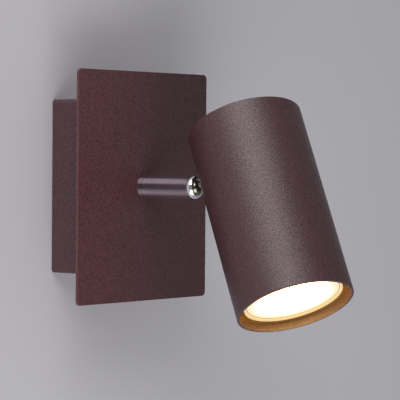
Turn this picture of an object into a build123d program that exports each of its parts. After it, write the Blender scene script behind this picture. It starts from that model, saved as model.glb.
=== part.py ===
from build123d import *
from math import cos, radians, sin, sqrt
import os

# A wall spotlight: a box and a front plate on the wall, a short turning stem with a chrome ball
# joint, and a tube shade with a reflector lamp. Sizes are in millimetres and degrees.
# The origin is on the wall, midway between the two wall screws. +Y goes into the wall, +Z is up,
# and "out" is a distance from the wall along -Y.

# How the light is set
swivel_angle = 12.0
tilt_angle = 27.0

# Clearances
seat_gap = 0.2
running_gap = 0.05
slip_gap = 0.1
wall_gap = 0.3

# Front plate and box
plate_width = 105.0
plate_height = 120.0
plate_thick = 1.2
plate_corner = 2.5
plate_edge = 0.25
plate_overhang = 15.0
box_depth = 29.8
box_wall = 1.0
box_corner = 2.0
box_edge = 0.5

# Wall bracket
strap_width = 24.0
strap_thick = 1.5
strap_bend = 1.2
lug_reach = 18.0
wall_slot_spacing = 60.0
wall_slot_width = 5.2
wall_slot_length = 12.0

# Cable grommet
cable_radius = 3.6
grommet_wall = 1.2
grommet_lip = 1.4
grommet_height = 14.0

# Screws: radius of the thread, radius and height of the head
box_screw_radius = 2.0
box_screw_head = 3.6
box_screw_head_height = 2.2
box_screw_length = 6.0
box_screw_out = 12.0
earth_screw_radius = 2.0
earth_screw_head = 2.9
earth_screw_head_height = 2.0
block_screw_radius = 1.5
block_screw_head = 2.7
block_screw_head_height = 1.8
clamp_screw_radius = 1.2
clamp_screw_head = 1.7
clamp_screw_head_height = 1.4
holder_screw_radius = 1.5
holder_screw_head = 2.6
holder_screw_head_height = 1.8
holder_screw_length = 6.0
head_earth_screw_length = 2.5

# Terminal block
block_width = 21.0
block_height = 16.0
block_depth = 13.0
block_drop = 16.0
pole_spacing = 10.0
clamp_out = 7.0
clamp_radius = 2.3
clamp_bore = 1.2
clamp_screw_spacing = 9.0
block_screw_well = 4.0

# Leads and their lugs
lead_diameter = 1.4
lead_bend = 3.5
lug_thick = 0.6
lug_radius = 3.4
lug_barrel_radius = 1.3
lug_barrel_length = 4.0
lug_overlap = 0.4
earth_side = 7.5
earth_height = 3.0
earth_bow = 4.5
earth_bend = 2.0
head_earth_along = 20.5

# Stem
stem_diameter = 12.0
stem_reach = 32.0
tube_wall = 0.8
tube_edge = 0.25
collar_length = 2.5
swivel_washer_length = 1.5
bush_length = 7.2
journal_radius = 3.5
journal_end = 2.0
stem_bore = 2.2
tail_radius = 4.0
tail_end = 1.8
stem_nut_width = 13.0
stem_nut_height = 4.0
lock_washer_thick = 0.6
lock_washer_rim = 2.2
wave_washer_height = 1.3
wave_washer_thick = 0.4
clip_thick = 0.8
clip_depth = 0.5
clip_rim = 1.3
clip_mouth = 4.6

# Ball joint
ball_radius = 4.4
ball_out_of_tube = 1.8
mouth_radius = 4.05
cap_shoulder = 1.0
cap_nose = 3.8
cap_lip = 0.65
spigot_length = 7.6
spigot_wall = 0.7
slot_end = 0.3
seat_thick = 2.7
seat_hole = 3.0
disc_spring_height = 0.95
disc_spring_thick = 0.5
disc_spring_hole = 2.9
plug_length = 2.5
plug_bore = 2.6
neck_diameter = 5.0
neck_bore = 1.7
shoulder_thick = 0.8
shoulder_radius = 3.5
saddle_thick = 1.3
saddle_radius = 4.4
ball_flare = 2.6
ball_flare_depth = 2.6
neck_tail = 1.0

# Shade
shade_diameter = 59.0
shade_length = 102.0
shade_wall = 1.2
shade_edge = 0.35
neck_below_top = 17.1
top_recess = 0.5
top_thick = 1.2
top_skirt = 6.0

# Lamp bracket in the shade
bracket_width = 14.0
bracket_thick = 1.2
bracket_rise = 6.0
bracket_far_end = 15.0
neck_nut_width = 8.0
neck_nut_height = 2.8
holder_screw_spacing = 21.0
lead_hole_radius = 4.4

# Lamp holder
holder_length = 30.0
holder_width = 17.0
holder_height = 18.0
holder_edge = 0.8
pocket_radius = 3.2
pin_spacing = 10.0
contact_thick = 1.0
contact_radius = 2.9
holder_lead_spacing = 6.0
holder_lead_hole = 0.9

# Reflector lamp
lamp_recess = 3.8
lamp_radius = 25.0
lamp_rim_wall = 1.0
lamp_rim_height = 6.0
lens_thick = 2.0
lens_sink = 0.6
lamp_length = 47.0
lamp_shoulder = 8.0
lamp_cone_end = 31.0
lamp_waist_radius = 16.0
lamp_base_radius = 12.5
pin_length = 7.0
pin_radius = 1.5
pin_head_radius = 2.4
pin_head_length = 2.0

# Worked-out places along the stem, as distances out from the wall
plate_front = box_depth + plate_thick
tube_front = plate_front + stem_reach
collar_front = plate_front + collar_length
washer_back = collar_front + seat_gap
tube_back = washer_back + swivel_washer_length
bush_front = tube_back + bush_length
wave_back = bush_front + seat_gap
clip_back = wave_back + wave_washer_height
journal_front = clip_back + clip_thick + journal_end
box_front_inside = box_depth - box_wall
nut_front = box_front_inside - lock_washer_thick
tail_back = nut_front - stem_nut_height - tail_end
ball_out = tube_front + ball_out_of_tube
cap_front = tube_front + cap_nose
spigot_back = tube_front - spigot_length
plug_front = spigot_back + plug_length
seat_back = plug_front + 2 * disc_spring_height

# Worked-out radii
stem_radius = stem_diameter / 2
tube_bore = stem_radius - tube_wall
spigot_bore = tube_bore - spigot_wall
neck_radius = neck_diameter / 2
lead_radius = lead_diameter / 2
shade_radius = shade_diameter / 2
shade_bore = shade_radius - shade_wall
cavity_radius = ball_radius + running_gap
bush_bore = journal_radius + running_gap
box_width = plate_width - 2 * plate_overhang
box_height = plate_height - 2 * plate_overhang
strap_height = box_height - 2 * box_wall - 2 * wall_gap
grommet_radius = cable_radius + grommet_wall

# The neck's shoulder passes clear of the cap's corner at every tilt
shoulder_back = sqrt(ball_out_of_tube**2 + stem_radius**2) + wall_gap
shoulder_front = shoulder_back + shoulder_thick

# The plane of the stem's section: across it goes the way out, and up it goes up the wall
out_side = Plane(origin=(0, 0, 0), x_dir=(0, -1, 0), z_dir=(-1, 0, 0))
stem_axis = Axis((0, 0, 0), (0, -1, 0))

# The head swings in the plane of the slot, which holds the stem's axis
slot_up = Vector(sin(radians(swivel_angle)), 0, cos(radians(swivel_angle)))
hinge_way = Vector(-cos(radians(swivel_angle)), 0, sin(radians(swivel_angle)))
ball_centre = Vector(0, -ball_out, 0)
neck_way = Vector(0, -cos(radians(tilt_angle)), 0) + slot_up * sin(radians(tilt_angle))
shade_up = Vector(0, sin(radians(tilt_angle)), 0) + slot_up * cos(radians(tilt_angle))
slot_plane = Plane(origin=(0, 0, 0), x_dir=(0, -1, 0), z_dir=slot_up)
# In the head's planes, the first coordinate runs along the neck from the ball's centre
head_side = Plane(origin=ball_centre, x_dir=neck_way, z_dir=hinge_way)
head_level = Plane(origin=ball_centre, x_dir=neck_way, z_dir=shade_up)
neck_plane = Plane(origin=ball_centre, x_dir=hinge_way * -1, z_dir=neck_way)
neck_axis = Axis(ball_centre, neck_way)
shade_x = shoulder_front + saddle_thick + shade_radius
shade_axis = Axis(head_side.from_local_coords((shade_x, 0, 0)), shade_up)

# Heights in the head, measured up the shade from the neck
shade_bottom = neck_below_top - shade_length
lens_face = shade_bottom + lamp_recess
lamp_base = lens_face + lamp_length
holder_bottom = lamp_base + seat_gap
holder_top = holder_bottom + holder_height
bracket_top = holder_top + bracket_thick
pocket_top = lamp_base + pin_length + seat_gap + contact_thick

# Places along the neck
tab_back = shade_x - sqrt(shade_bore**2 - (bracket_width / 2) ** 2) + running_gap
tab_front = tab_back + bracket_thick
neck_nut_back = tab_front + lock_washer_thick
neck_end = neck_nut_back + neck_nut_height + neck_tail

# The three leads lie in a bundle on the stem's axis, each touching the other two but for a gap
lead_angles = (90, 210, 330)
bundle_radius = lead_diameter / sqrt(len(lead_angles)) + running_gap
bundle = [(bundle_radius * cos(radians(a)), bundle_radius * sin(radians(a))) for a in lead_angles]
earth_spot = bundle[0]
live_spots = bundle[1:]

os.makedirs("parts", exist_ok=True)

# --- Wall side ---

# Steel strap with two wall slots, and a lug bent out at each end for a box screw
with BuildPart() as wall_bracket:
    with BuildSketch(Plane.XZ):
        Rectangle(strap_width, strap_height)
        with Locations((0, wall_slot_spacing / 2), (0, -wall_slot_spacing / 2)):
            SlotOverall(wall_slot_length, wall_slot_width, rotation=90, mode=Mode.SUBTRACT)
        with Locations((0, grommet_height)):
            Circle(grommet_radius, mode=Mode.SUBTRACT)
        with Locations((-earth_side, earth_height)):
            Circle(earth_screw_radius + running_gap, mode=Mode.SUBTRACT)
        with Locations((0, -block_drop)):
            Circle(block_screw_radius + running_gap, mode=Mode.SUBTRACT)
    extrude(amount=strap_thick)
    lug_middle = (strap_height - strap_thick) / 2
    with BuildSketch(Plane.XZ):
        with Locations((0, lug_middle), (0, -lug_middle)):
            Rectangle(strap_width, strap_thick)
    extrude(amount=lug_reach)
    with BuildSketch(Plane.XY):
        with Locations((0, -box_screw_out)):
            Circle(box_screw_radius + running_gap)
    extrude(amount=strap_height, both=True, mode=Mode.SUBTRACT)
    fillet(wall_bracket.edges().filter_by(Axis.X).group_by(Axis.Y)[-1], strap_bend)

# Soft ring in the strap's cable hole, with a lip on the room side
with BuildPart() as cable_grommet:
    with BuildSketch(Plane.XZ):
        with Locations((0, grommet_height)):
            Circle(grommet_radius)
            Circle(cable_radius, mode=Mode.SUBTRACT)
    extrude(amount=strap_thick)
    with BuildSketch(Plane.XZ.offset(strap_thick)):
        with Locations((0, grommet_height)):
            Circle(grommet_radius + grommet_lip)
            Circle(cable_radius, mode=Mode.SUBTRACT)
    extrude(amount=grommet_lip)

# Two-pole terminal block, with its clamps' bores up and down and its screws facing the room
pole_places = (-pole_spacing / 2, pole_spacing / 2)
screw_rows = (-block_drop - clamp_screw_spacing / 2, -block_drop + clamp_screw_spacing / 2)
pole_spots = [(x, -clamp_out) for x in pole_places]
screw_spots = [(x, z) for x in pole_places for z in screw_rows]
block_front = strap_thick + block_depth
block_screw_seat = block_front - block_screw_well
clamp_screw_seat = clamp_out + clamp_radius + seat_gap
with BuildPart() as terminal_block:
    with BuildSketch(Plane.XZ.offset(strap_thick)):
        with Locations((0, -block_drop)):
            Rectangle(block_width, block_height)
    extrude(amount=block_depth)
    with BuildSketch(Plane.XY.offset(-block_drop)):
        with Locations(pole_spots):
            Circle(clamp_radius + running_gap)
    extrude(amount=block_height, both=True, mode=Mode.SUBTRACT)
    with BuildSketch(Plane.XZ.offset(clamp_out)):
        with Locations(screw_spots):
            Circle(clamp_screw_head + slip_gap)
    extrude(amount=block_depth, mode=Mode.SUBTRACT)
    with BuildSketch(Plane.XZ):
        with Locations((0, -block_drop)):
            Circle(block_screw_radius + slip_gap)
    extrude(amount=block_front, mode=Mode.SUBTRACT)
    with BuildSketch(Plane.XZ.offset(block_screw_seat)):
        with Locations((0, -block_drop)):
            Circle(block_screw_head + slip_gap)
    extrude(amount=block_screw_well, mode=Mode.SUBTRACT)

# Brass barrels in the block, drilled across for their screws
with BuildPart() as terminal_clamps:
    with BuildSketch(Plane.XY.offset(-block_drop)):
        with Locations(pole_spots):
            Circle(clamp_radius)
            Circle(clamp_bore, mode=Mode.SUBTRACT)
    extrude(amount=block_height / 2 - seat_gap, both=True)
    with BuildSketch(Plane.XZ.offset(clamp_out)):
        with Locations(screw_spots):
            Circle(clamp_screw_radius + running_gap)
    extrude(amount=block_depth, mode=Mode.SUBTRACT)

with BuildPart() as terminal_screws:
    with BuildSketch(Plane.XZ.offset(clamp_out + lead_radius + running_gap)):
        with Locations(screw_spots):
            Circle(clamp_screw_radius)
    extrude(amount=clamp_screw_seat - clamp_out - lead_radius - running_gap)
    with BuildSketch(Plane.XZ.offset(clamp_screw_seat)):
        with Locations(screw_spots):
            Circle(clamp_screw_head)
    extrude(amount=clamp_screw_head_height)

with BuildPart() as terminal_fixing_screw:
    with BuildSketch(Plane.XZ):
        with Locations((0, -block_drop)):
            Circle(block_screw_radius)
    extrude(amount=block_screw_seat)
    with BuildSketch(Plane.XZ.offset(block_screw_seat)):
        with Locations((0, -block_drop)):
            Circle(block_screw_head)
    extrude(amount=block_screw_head_height)

# Ring lug of the protective earth, held on the strap by its screw
lug_level = strap_thick + lug_barrel_radius
barrel_start = lug_radius - lug_overlap - earth_side
barrel_end = barrel_start + lug_barrel_length
with BuildPart() as earth_lug:
    with BuildSketch(Plane.XZ.offset(strap_thick)):
        with Locations((-earth_side, earth_height)):
            Circle(lug_radius)
            Circle(earth_screw_radius + slip_gap, mode=Mode.SUBTRACT)
    extrude(amount=lug_thick)
    with BuildSketch(Plane(origin=(barrel_start, -lug_level, earth_height), z_dir=(1, 0, 0))):
        Circle(lug_barrel_radius)
    extrude(amount=lug_barrel_length)

with BuildPart() as earth_screw:
    with BuildSketch(Plane.XZ):
        with Locations((-earth_side, earth_height)):
            Circle(earth_screw_radius)
    extrude(amount=strap_thick + lug_thick)
    with BuildSketch(Plane.XZ.offset(strap_thick + lug_thick)):
        with Locations((-earth_side, earth_height)):
            Circle(earth_screw_head)
    extrude(amount=earth_screw_head_height)

# Pressed steel box, open at the wall
with BuildPart() as back_box:
    with BuildSketch(Plane.XZ):
        RectangleRounded(box_width, box_height, box_corner)
    extrude(amount=box_depth)
    fillet(back_box.faces().sort_by(Axis.Y)[0].edges(), box_edge)
    offset(amount=-box_wall, openings=back_box.faces().sort_by(Axis.Y)[-1])
    with BuildSketch(Plane.XZ):
        Circle(tail_radius + slip_gap)
    extrude(amount=box_depth, mode=Mode.SUBTRACT)
    with BuildSketch(Plane.XY):
        with Locations((0, -box_screw_out)):
            Circle(box_screw_radius + slip_gap)
    extrude(amount=box_height, both=True, mode=Mode.SUBTRACT)

# One screw through the box's top and one through its bottom, into the strap's lugs
with BuildPart() as box_screws:
    for way in (1, -1):
        head_seat = Plane(origin=(0, -box_screw_out, way * box_height / 2), z_dir=(0, 0, way))
        with BuildSketch(head_seat):
            Circle(box_screw_head)
        extrude(amount=box_screw_head_height)
        fillet(box_screws.edges().sort_by(Axis.Z)[-1 if way > 0 else 0], box_screw_head_height / 2)
        with BuildSketch(head_seat):
            Circle(box_screw_radius)
        extrude(amount=-box_screw_length)

# Flat front plate, larger than the box all round
with BuildPart() as front_plate:
    with BuildSketch(Plane.XZ.offset(box_depth)):
        RectangleRounded(plate_width, plate_height, plate_corner)
        Circle(tail_radius + slip_gap, mode=Mode.SUBTRACT)
    extrude(amount=plate_thick)
    fillet(front_plate.faces().sort_by(Axis.Y)[0].outer_wire().edges(), plate_edge)

# Turned base of the stem: tail through box and plate, collar, and the journal the stem turns on
clip_floor = journal_radius - clip_depth
with BuildPart() as stem_base:
    with BuildSketch(out_side):
        with BuildLine():
            Polyline(
                (tail_back, stem_bore),
                (tail_back, tail_radius),
                (plate_front, tail_radius),
                (plate_front, stem_radius),
                (collar_front - tube_edge, stem_radius),
                (collar_front, stem_radius - tube_edge),
                (collar_front, journal_radius),
                (clip_back, journal_radius),
                (clip_back, clip_floor),
                (clip_back + clip_thick, clip_floor),
                (clip_back + clip_thick, journal_radius),
                (journal_front, journal_radius),
                (journal_front, stem_bore),
                close=True,
            )
        make_face()
    revolve(axis=stem_axis)

# Toothed washer and nut behind the box's front
with BuildPart() as stem_lock_washer:
    with BuildSketch(Plane.XZ.offset(nut_front)):
        Circle(tail_radius + lock_washer_rim)
        Circle(tail_radius + slip_gap, mode=Mode.SUBTRACT)
    extrude(amount=lock_washer_thick)

with BuildPart() as stem_nut:
    with BuildSketch(Plane.XZ.offset(nut_front - stem_nut_height)):
        RegularPolygon(stem_nut_width / 2, 6, major_radius=False)
        Circle(tail_radius + running_gap, mode=Mode.SUBTRACT)
    extrude(amount=stem_nut_height)

# Sprung washer between the bush and the clip, drawn as one shallow cone
with BuildPart() as wave_washer:
    with BuildSketch(out_side):
        with BuildLine():
            Polyline(
                (clip_back, bush_bore + slip_gap),
                (clip_back - wave_washer_thick, bush_bore + slip_gap),
                (wave_back, tube_bore - wall_gap),
                (wave_back + wave_washer_thick, tube_bore - wall_gap),
                close=True,
            )
        make_face()
    revolve(axis=stem_axis)

# Open spring clip in the journal's groove
with BuildPart() as journal_clip:
    with BuildSketch(Plane.XZ.offset(clip_back)):
        Circle(journal_radius + clip_rim)
        Circle(clip_floor + running_gap, mode=Mode.SUBTRACT)
        with Locations((0, -journal_radius)):
            Rectangle(clip_mouth, 2 * journal_radius, mode=Mode.SUBTRACT)
    extrude(amount=clip_thick)

# Live and neutral leads: from the block's clamps, up and out through the stem base
lead_entry = -block_drop + block_height / 2
with BuildPart() as base_leads:
    for (x, z), side in zip(live_spots, (-1, 1)):
        with BuildLine() as base_route:
            FilletPolyline(
                (x, -journal_front, z),
                (x, -tail_back + lead_bend, z),
                (side * pole_spacing / 2, -clamp_out, lead_entry + lead_bend),
                (side * pole_spacing / 2, -clamp_out, lead_entry - lead_bend),
                radius=lead_bend,
            )
        with BuildSketch(Plane(origin=base_route.line @ 0, z_dir=base_route.line % 0)):
            Circle(lead_radius)
        sweep(path=base_route.line)

# Earth lead: from its lug on the strap, out through the stem base
with BuildPart() as base_earth_lead:
    with BuildLine() as earth_route:
        FilletPolyline(
            (earth_spot[0], -journal_front, earth_spot[1]),
            (earth_spot[0], -tail_back + lead_bend, earth_spot[1]),
            (earth_bow, -lug_level - 2 * lead_bend, earth_height),
            (earth_bow, -lug_level, earth_height),
            (barrel_end, -lug_level, earth_height),
            radius=earth_bend,
        )
    with BuildSketch(Plane(origin=earth_route.line @ 0, z_dir=earth_route.line % 0)):
        Circle(lead_radius)
    sweep(path=earth_route.line)

# --- Turning stem ---

# Thin ring between the fixed collar and the tube
with BuildPart() as swivel_washer:
    with BuildSketch(Plane.XZ.offset(washer_back)):
        Circle(stem_radius)
        Circle(bush_bore, mode=Mode.SUBTRACT)
    extrude(amount=swivel_washer_length)
    washer_rims = swivel_washer.edges().filter_by(GeomType.CIRCLE).group_by(SortBy.RADIUS)[-1]
    chamfer(washer_rims, tube_edge)

with BuildPart() as stem_tube:
    with BuildSketch(Plane.XZ.offset(tube_back)):
        Circle(stem_radius)
        Circle(tube_bore, mode=Mode.SUBTRACT)
    extrude(amount=tube_front - tube_back)
    tube_rims = stem_tube.edges().filter_by(GeomType.CIRCLE).group_by(SortBy.RADIUS)[-1]
    chamfer(tube_rims.sort_by(Axis.Y)[-1], tube_edge)

# Bearing pressed into the back of the tube
with BuildPart() as stem_bush:
    with BuildSketch(Plane.XZ.offset(tube_back)):
        Circle(tube_bore)
        Circle(bush_bore, mode=Mode.SUBTRACT)
    extrude(amount=bush_length)

# Chrome cap: a spigot inside the tube, a round nose with the ball's cavity, and the slot
slot_width = neck_diameter + 2 * running_gap + wall_gap
slot_round_out = tube_front + slot_end + slot_width / 2
lip_out = ball_out + sqrt(cavity_radius**2 - mouth_radius**2)
with BuildPart() as socket_cap:
    with BuildSketch(out_side):
        with BuildLine():
            outside = Polyline(
                (spigot_back, spigot_bore),
                (spigot_back, tube_bore),
                (tube_front, tube_bore),
                (tube_front, stem_radius),
                (tube_front + cap_shoulder, stem_radius),
            )
            nose = TangentArc(outside @ 1, (cap_front, mouth_radius + cap_lip), tangent=(1, 0))
            Line(nose @ 1, (cap_front, mouth_radius))
            Line((cap_front, mouth_radius), (lip_out, mouth_radius))
            RadiusArc((lip_out, mouth_radius), (ball_out, cavity_radius), -cavity_radius)
            Polyline((ball_out, cavity_radius), (ball_out, spigot_bore), (spigot_back, spigot_bore))
        make_face()
    revolve(axis=stem_axis)
    with BuildSketch(slot_plane):
        with Locations((slot_round_out, 0)):
            Circle(slot_width / 2)
            Rectangle(cap_nose, slot_width, align=(Align.MIN, Align.CENTER))
    extrude(amount=stem_diameter, mode=Mode.SUBTRACT)

# Nylon seat with a hollow that fits the ball's back
seat_rim = spigot_bore - running_gap
with BuildPart() as ball_seat:
    with BuildSketch(Plane.XZ.offset(seat_back)):
        Circle(seat_rim)
        Circle(seat_hole, mode=Mode.SUBTRACT)
    extrude(amount=seat_thick)
    with Locations(ball_centre):
        Sphere(cavity_radius, mode=Mode.SUBTRACT)

# Two disc springs back to back, which press the seat on the ball
disc_springs_middle = plug_front + disc_spring_height
with BuildPart() as seat_spring:
    for way in (1, -1):
        wide_end = disc_springs_middle
        narrow_end = disc_springs_middle + way * (disc_spring_height - disc_spring_thick)
        with BuildSketch(out_side):
            with BuildLine():
                Polyline(
                    (wide_end, seat_rim - slip_gap),
                    (wide_end + way * disc_spring_thick, seat_rim - slip_gap),
                    (narrow_end + way * disc_spring_thick, disc_spring_hole),
                    (narrow_end, disc_spring_hole),
                    close=True,
                )
            make_face()
        revolve(axis=stem_axis)

# Ring screwed into the back of the cap, behind the springs
with BuildPart() as spring_plug:
    with BuildSketch(Plane.XZ.offset(spigot_back)):
        Circle(spigot_bore)
        Circle(plug_bore, mode=Mode.SUBTRACT)
    extrude(amount=plug_length)

# The three leads along the stem
stem_leads_front = ball_out - ball_radius - seat_gap
with BuildPart() as stem_leads:
    with BuildSketch(Plane.XZ.offset(journal_front + seat_gap)):
        with Locations(bundle):
            Circle(lead_radius)
    extrude(amount=stem_leads_front - journal_front - seat_gap)

# --- Tilting head ---

# Hollow ball with its neck and shoulder, flared at the back for the leads
ball_back = sqrt(ball_radius**2 - ball_flare**2)
ball_front = sqrt(ball_radius**2 - neck_radius**2)
with BuildPart() as joint_ball:
    with BuildSketch(head_side):
        with BuildLine():
            ThreePointArc((-ball_back, ball_flare), (0, ball_radius), (ball_front, neck_radius))
            Polyline(
                (ball_front, neck_radius),
                (shoulder_back, neck_radius),
                (shoulder_back, shoulder_radius),
                (shoulder_front, shoulder_radius),
                (shoulder_front, neck_radius),
                (neck_end, neck_radius),
                (neck_end, neck_bore),
                (-ball_back + ball_flare_depth, neck_bore),
                (-ball_back, ball_flare),
            )
        make_face()
    revolve(axis=neck_axis)

# Tube shade, open at the bottom, with a hole for the neck
with BuildPart() as shade:
    with BuildSketch(head_level.offset(shade_bottom)):
        with Locations((shade_x, 0)):
            Circle(shade_radius)
            Circle(shade_bore, mode=Mode.SUBTRACT)
    extrude(amount=shade_length)
    shade_rims = shade.edges().filter_by(GeomType.CIRCLE).group_by(SortBy.RADIUS)[-1]
    fillet(shade_rims, shade_edge)
    with BuildSketch(neck_plane):
        Circle(neck_radius + slip_gap)
    extrude(amount=shade_x, mode=Mode.SUBTRACT)

# Washer between the neck's shoulder and the shade, hollowed to the shade's round
with BuildPart() as saddle_washer:
    with BuildSketch(neck_plane.offset(shoulder_front)):
        Circle(saddle_radius)
        Circle(neck_radius + slip_gap, mode=Mode.SUBTRACT)
    extrude(amount=2 * saddle_thick)
    with BuildSketch(head_level):
        with Locations((shade_x, 0)):
            Circle(shade_radius)
    extrude(amount=shade_radius, both=True, mode=Mode.SUBTRACT)

# Pressed disc with a skirt, which closes the top of the shade
top_radius = shade_bore - running_gap
top_face = neck_below_top - top_recess
with BuildPart() as shade_top:
    with BuildSketch(head_level.offset(top_face - top_skirt)):
        with Locations((shade_x, 0)):
            Circle(top_radius)
    extrude(amount=top_skirt)
    with BuildSketch(head_level.offset(top_face - top_skirt)):
        with Locations((shade_x, 0)):
            Circle(top_radius - top_thick)
    extrude(amount=top_skirt - top_thick, mode=Mode.SUBTRACT)

# Angle bracket: its tab stands on the neck inside the shade, its shelf carries the lamp holder
holder_screw_spots = [(shade_x + side * holder_screw_spacing / 2, 0) for side in (-1, 1)]
shelf_end = shade_x + bracket_far_end
with BuildPart() as lamp_bracket:
    with BuildSketch(head_side):
        with BuildLine():
            Polyline(
                (tab_back, holder_top),
                (shelf_end, holder_top),
                (shelf_end, bracket_top),
                (tab_front, bracket_top),
                (tab_front, bracket_rise),
                (tab_back, bracket_rise),
                close=True,
            )
        make_face()
    extrude(amount=bracket_width / 2, both=True)
    with BuildSketch(neck_plane):
        Circle(neck_radius + slip_gap)
    extrude(amount=shade_x, mode=Mode.SUBTRACT)
    with BuildSketch(head_level.offset(holder_top)):
        with Locations((shade_x, 0)):
            Circle(lead_hole_radius)
        with Locations(holder_screw_spots):
            Circle(holder_screw_radius + slip_gap)
        with Locations((head_earth_along, 0)):
            Circle(holder_screw_radius + running_gap)
    extrude(amount=bracket_thick, mode=Mode.SUBTRACT)

with BuildPart() as neck_lock_washer:
    with BuildSketch(neck_plane.offset(tab_front)):
        Circle(neck_radius + lock_washer_rim)
        Circle(neck_radius + slip_gap, mode=Mode.SUBTRACT)
    extrude(amount=lock_washer_thick)

with BuildPart() as neck_nut:
    with BuildSketch(neck_plane.offset(neck_nut_back)):
        RegularPolygon(neck_nut_width / 2, 6, major_radius=False)
        Circle(neck_radius + running_gap, mode=Mode.SUBTRACT)
    extrude(amount=neck_nut_height)

# Ceramic lamp holder with a pocket for each lamp pin and a small hole for each lead
pin_spots = [(shade_x + side * pin_spacing / 2, 0) for side in (-1, 1)]
holder_lead_spots = [(shade_x + side * holder_lead_spacing / 2, 0) for side in (-1, 1)]
with BuildPart() as lamp_holder:
    with BuildSketch(head_level.offset(holder_bottom)):
        with Locations((shade_x, 0)):
            SlotOverall(holder_length, holder_width)
    extrude(amount=holder_height)
    fillet(lamp_holder.faces().filter_by(head_level).edges(), holder_edge)
    with BuildSketch(head_level.offset(holder_bottom)):
        with Locations(pin_spots):
            Circle(pocket_radius)
    extrude(amount=pocket_top - holder_bottom, mode=Mode.SUBTRACT)
    with BuildSketch(head_level.offset(holder_bottom)):
        with Locations(holder_lead_spots):
            Circle(holder_lead_hole)
    extrude(amount=holder_height, mode=Mode.SUBTRACT)
    with BuildSketch(head_level.offset(holder_top)):
        with Locations(holder_screw_spots):
            Circle(holder_screw_radius + running_gap)
    extrude(amount=-holder_screw_length, mode=Mode.SUBTRACT)

with BuildPart() as holder_contacts:
    with BuildSketch(head_level.offset(pocket_top - contact_thick)):
        with Locations(pin_spots):
            Circle(contact_radius)
    extrude(amount=contact_thick)

with BuildPart() as holder_screws:
    with BuildSketch(head_level.offset(bracket_top)):
        with Locations(holder_screw_spots):
            Circle(holder_screw_head)
    extrude(amount=holder_screw_head_height)
    with BuildSketch(head_level.offset(bracket_top)):
        with Locations(holder_screw_spots):
            Circle(holder_screw_radius)
    extrude(amount=-holder_screw_length)

# Reflector lamp: rim, lens, tapered housing and two headed pins
rim_bore = lamp_radius - lamp_rim_wall
lens_front = lens_face + lens_sink
lens_back = lens_front + lens_thick
with BuildPart() as lamp_rim:
    with BuildSketch(head_level.offset(lens_face)):
        with Locations((shade_x, 0)):
            Circle(lamp_radius)
            Circle(rim_bore, mode=Mode.SUBTRACT)
    extrude(amount=lamp_rim_height)

with BuildPart() as lamp_lens:
    with BuildSketch(head_level.offset(lens_front)):
        with Locations((shade_x, 0)):
            Circle(rim_bore)
    extrude(amount=lens_thick)

with BuildPart() as lamp_body:
    with BuildSketch(head_side):
        with BuildLine():
            Polyline(
                (shade_x, lens_back),
                (shade_x + rim_bore, lens_back),
                (shade_x + rim_bore, lens_face + lamp_rim_height),
                (shade_x + rim_bore, lens_face + lamp_shoulder),
                (shade_x + lamp_waist_radius, lens_face + lamp_cone_end),
                (shade_x + lamp_base_radius, lamp_base),
                (shade_x, lamp_base),
                close=True,
            )
        make_face()
    revolve(axis=shade_axis)

with BuildPart() as lamp_pins:
    with BuildSketch(head_level.offset(lamp_base)):
        with Locations(pin_spots):
            Circle(pin_radius)
    extrude(amount=pin_length)
    with BuildSketch(head_level.offset(lamp_base + pin_length)):
        with Locations(pin_spots):
            Circle(pin_head_radius)
    extrude(amount=-pin_head_length)

# Ring lug on the bracket's shelf, its barrel turned up, and the screw that holds it
barrel_aside = lug_radius + lug_barrel_radius - lug_overlap
barrel_top = bracket_top + lug_barrel_length
with BuildPart() as head_earth_lug:
    with BuildSketch(head_level.offset(bracket_top)):
        with Locations((head_earth_along, 0)):
            Circle(lug_radius)
            Circle(holder_screw_radius + slip_gap, mode=Mode.SUBTRACT)
    extrude(amount=lug_thick)
    with BuildSketch(head_level.offset(bracket_top)):
        with Locations((head_earth_along, -barrel_aside)):
            Circle(lug_barrel_radius)
    extrude(amount=lug_barrel_length)

with BuildPart() as head_earth_screw:
    with BuildSketch(head_level.offset(bracket_top + lug_thick)):
        with Locations((head_earth_along, 0)):
            Circle(holder_screw_head)
    extrude(amount=holder_screw_head_height)
    with BuildSketch(head_level.offset(bracket_top + lug_thick)):
        with Locations((head_earth_along, 0)):
            Circle(holder_screw_radius)
    extrude(amount=-head_earth_screw_length - lug_thick)

# Live and neutral leads in the head: through the ball and neck, and down into the holder
lead_start = ball_flare_depth - ball_back
with BuildPart() as head_leads:
    for (aside, up), (entry, _) in zip(live_spots, holder_lead_spots):
        head_points = [
            (lead_start, up, aside),
            (entry - 2 * lead_bend, up, aside),
            (entry, bracket_top + lead_bend, 0),
            (entry, pocket_top, 0),
        ]
        with BuildLine() as head_route:
            FilletPolyline(*[head_side.from_local_coords(p) for p in head_points], radius=lead_bend)
        with BuildSketch(Plane(origin=head_route.line @ 0, z_dir=head_route.line % 0)):
            Circle(lead_radius)
        sweep(path=head_route.line)

# Earth lead in the head: through the ball and neck, and down into its lug
with BuildPart() as head_earth_lead:
    head_earth_points = [
        (lead_start, earth_spot[1], earth_spot[0]),
        (neck_end + earth_bend / 2, earth_spot[1], earth_spot[0]),
        (head_earth_along, earth_spot[1] + lead_diameter, barrel_aside),
        (head_earth_along, barrel_top, barrel_aside),
    ]
    with BuildLine() as head_earth_route:
        FilletPolyline(*[head_side.from_local_coords(p) for p in head_earth_points], radius=earth_bend)
    with BuildSketch(Plane(origin=head_earth_route.line @ 0, z_dir=head_earth_route.line % 0)):
        Circle(lead_radius)
    sweep(path=head_earth_route.line)

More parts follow.
